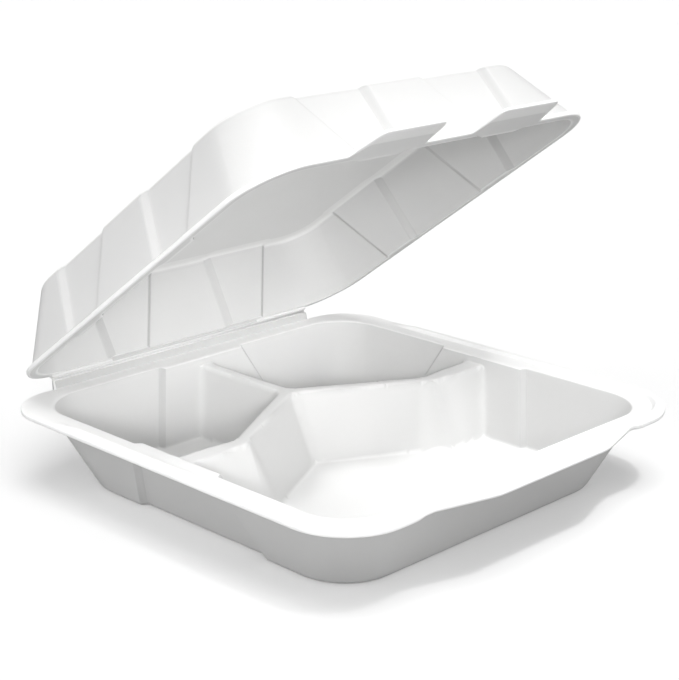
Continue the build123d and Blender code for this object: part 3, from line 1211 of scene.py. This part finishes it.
@dataclass(frozen=True)
class FoamFinish:
    """White foam skin: colour of the flat faces, a darker colour painted as shade on steep and
    downward faces, gloss, relief.
    """

    name: str
    flat: tuple[float, float, float]
    # darker colour painted on steep and downward faces as shade
    painted_shade_colour: tuple[float, float, float]
    roughness: float
    relief: float
    relief_strength: float = 0.35
    cell_scale: float = 900.0
    cloud_scale: float = 28.0

    def material(self, cells: bpy.types.ShaderNodeTree) -> bpy.types.Material:
        """Build the node material.

        Args:
            cells: The shared group of foam cells.

        Returns:
            The material.
        """
        made = bpy.data.materials.new(self.name)
        made.use_nodes = True
        made.node_tree.nodes.clear()
        nodes = wired(made.node_tree, {
            "place": "ShaderNodeTexCoord", "painted_shade": "ShaderNodeAttribute",
            "cells": cells, "tint": "ShaderNodeValToRGB",
            "bump": "ShaderNodeBump", "skin": "ShaderNodeBsdfPrincipled",
            "finish": "ShaderNodeOutputMaterial",
        }, (
            ("place", "Object", "cells", "Vector"), ("painted_shade", "Fac", "cells", "Painted Shade"),
            ("cells", "Clouding And Painted Shade", "tint", "Fac"), ("cells", "Height", "bump", "Height"),
            ("tint", "Color", "skin", "Base Color"), ("bump", "Normal", "skin", "Normal"),
            ("skin", "BSDF", "finish", "Surface"),
        ))
        nodes["painted_shade"].attribute_name = "painted_shade"
        # the ramp mixes from the flat colour to the painted shade colour
        ramp = nodes["tint"].color_ramp
        for element, colour in zip(ramp.elements, (self.flat, self.painted_shade_colour)):
            element.color = (*colour, 1.0)
        for node, socket, value in (
            ("cells", "Cell Scale", self.cell_scale), ("cells", "Cloud Scale", self.cloud_scale),
            ("bump", "Strength", self.relief_strength), ("bump", "Distance", self.relief * MM),
            ("skin", "Roughness", self.roughness), ("skin", "Subsurface Weight", 0.1),
            ("skin", "Subsurface Radius", (1.0, 1.0, 1.0)), ("skin", "Subsurface Scale", 0.002),
        ):
            nodes[node].inputs[socket].default_value = value
        return made


@dataclass(frozen=True)
class Sun:
    """Broad soft light far away.

    azimuth is degrees round from the front, to the right, elevation degrees above the
    floor, spread the degrees that it covers, and power watts per square metre.
    """

    name: str
    azimuth: float
    elevation: float
    spread: float
    power: float

    def hang(self) -> None:
        """Put the light in the scene."""
        data = bpy.data.lights.new(self.name, "SUN")
        data.energy, data.angle = self.power, math.radians(self.spread)
        a, e = math.radians(self.azimuth), math.radians(self.elevation)
        toward = Vector((math.sin(a) * math.cos(e), -math.cos(a) * math.cos(e), math.sin(e)))
        put_light(data, Vector(), toward)


@dataclass(frozen=True)
class Lamp:
    """Soft lamp aimed at a part of the container: places in metres, power in watts."""

    name: str
    place: tuple[float, float, float]
    aim: tuple[float, float, float]
    cone: float
    power: float
    size: float = 0.09
    softness: float = 0.8

    def hang(self) -> None:
        """Put the lamp in the scene."""
        data = bpy.data.lights.new(self.name, "SPOT")
        data.energy, data.spot_size = self.power, math.radians(self.cone)
        data.spot_blend, data.shadow_soft_size = self.softness, self.size
        put_light(data, Vector(self.place), Vector(self.place) - Vector(self.aim))


def put_light(data: bpy.types.Light, place: Vector, toward: Vector) -> None:
    """Place a light and turn it.

    Args:
        data: The light.
        place: Where it stands, in metres.
        toward: Direction from what it lights to the light.
    """
    item = placed(data.name, data)
    item.location = place
    item.rotation_mode = "QUATERNION"
    item.rotation_quaternion = toward.to_track_quat("Z", "Y")


@dataclass
class Studio:
    """Pale floor, soft lights and the camera at the photographed angle."""

    azimuth: float = -45.3196
    elevation: float = 17.2316
    roll: float = 0.1824
    across: float = -1.7944
    up: float = 66.1155
    distance: float = 798.0068
    focal: float = 1680.1771
    sensor: float = 36.0
    floor_half: float = 15.0
    floor_shown: float = 0.86
    floor_return: float = 0.31
    floor_glow: float = 0.11
    room: float = 0.40

    def camera(self) -> None:
        """Set the camera where the photograph's camera stood."""
        a, e, r = (math.radians(v) for v in (self.azimuth, self.elevation, self.roll))
        right = Vector((math.cos(a), math.sin(a), 0))
        back = Vector((math.sin(a) * math.cos(e), -math.cos(a) * math.cos(e), math.sin(e)))
        above = back.cross(right)
        turned = math.cos(r) * right + math.sin(r) * above
        upright = math.cos(r) * above - math.sin(r) * right
        place = (self.across * turned + self.up * upright + self.distance * back) * MM
        data = bpy.data.cameras.new("camera")
        data.sensor_width = self.sensor
        data.lens = self.focal * self.sensor / max(PHOTO_WIDTH, PHOTO_HEIGHT)
        data.clip_start, data.clip_end = 0.05, 50.0
        item = placed("camera", data)
        item.matrix_world = Matrix((turned, upright, back)).transposed().to_4x4()
        item.location = place
        bpy.context.scene.camera = item

    def floor(self) -> None:
        """Lay a plain pale floor under the tray, which returns little light to it."""
        material = bpy.data.materials.new("floor")
        material.use_nodes = True
        nodes, links = material.node_tree.nodes, material.node_tree.links
        skin = nodes["Principled BSDF"]
        skin.inputs["Roughness"].default_value = 0.9
        path = nodes.new("ShaderNodeLightPath")
        shade = nodes.new("ShaderNodeMapRange")
        shade.inputs["To Min"].default_value = self.floor_return
        shade.inputs["To Max"].default_value = self.floor_shown
        links.new(path.outputs["Is Camera Ray"], shade.inputs["Value"])
        links.new(shade.outputs["Result"], skin.inputs["Base Color"])
        glow = nodes.new("ShaderNodeMapRange")
        glow.inputs["To Max"].default_value = self.floor_glow
        links.new(path.outputs["Is Camera Ray"], glow.inputs["Value"])
        links.new(glow.outputs["Result"], skin.inputs["Emission Strength"])
        data = bpy.data.meshes.new("floor")
        h = self.floor_half
        data.from_pydata([(-h, -h, 0), (h, -h, 0), (h, h, 0), (-h, h, 0)], [], [(0, 1, 2, 3)])
        data.materials.append(material)
        item = placed("floor", data)

    def lights(self) -> None:
        """Fill the room with white, hang the broad lights and aim the lamps inside."""
        world = bpy.data.worlds.new("studio")
        world.use_nodes = True
        backdrop = world.node_tree.nodes["Background"]
        backdrop.inputs["Color"].default_value = (1.0, 1.0, 1.0, 1.0)
        backdrop.inputs["Strength"].default_value = self.room
        bpy.context.scene.world = world
        for light in (
            Sun("overhead", -45, 60, 60, 0.53),
            Sun("steep", -20, 80, 40, 1.10),
            Sun("front", -30, 15, 40, 0.46),
            Sun("front_right", 45, 15, 40, 0.68),
            Sun("rear_left", -135, 20, 40, 0.63),
            Sun("left", -80, 15, 40, 0.24),
            Lamp("floor_lamp", (0.0, -0.66, 1.62), (0.03, -0.045, 0.0), 9, 51.0),
            Lamp("hinge_lamp", (-0.56, -0.60, 0.27), (-0.03, 0.105, 0.05), 12.5, 20.0),
            Lamp("wall_lamp", (-0.56, -0.60, 0.34), (0.095, 0.085, 0.036), 8.5, 32.0),
        ):
            light.hang()

    def build(self) -> None:
        """Set up the whole studio."""
        self.camera()
        self.floor()
        self.lights()
        bpy.context.scene.view_settings.view_transform = "Standard"


def main() -> None:
    """Build the container and the studio, and report each piece."""
    logging.basicConfig(level=logging.INFO, format="%(name)s: %(message)s")
    cells = FoamGroups.cells()
    # the second colour is painted shade for walls, panel edges and undersides
    moulded = FoamFinish("moulded_foam", (0.965, 0.965, 0.96), (0.6, 0.6, 0.597), 0.42, 0.1)
    creased = FoamFinish("creased_foam", (0.7, 0.7, 0.695), (0.6, 0.6, 0.595), 0.5, 0.08)
    skin, crease = moulded.material(cells), creased.material(cells)
    low, high = (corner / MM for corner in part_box("base_tray"))
    hinge = Vector(frame["joints"][0]["pos_m"]) / MM
    tray = Tray(flange_half=high.x, lip_front=-low.y, strip_far=high.y, strip_z=high.z)
    lid = Lid(half=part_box("lid")[1].x / MM, hinge_y=hinge.y, hinge_z=hinge.z)
    tray_shell, lid_shell = tray.build(), lid.build()
    for item, body, node in ((tray_shell, "base", "base_tray"), (lid_shell, "lid", "lid")):
        item.data.materials.append(skin)
        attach(item, body)
        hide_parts(node)
        LOG.info("%s: %d faces on %s", item.name, len(item.data.polygons), body)
    web = HingeWeb().build(lid, crease)
    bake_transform(web)
    LOG.info("%s: %d faces across the hinge", web.name, len(web.data.polygons))
    Studio().build()
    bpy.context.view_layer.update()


if __name__ == "__main__":
    main()
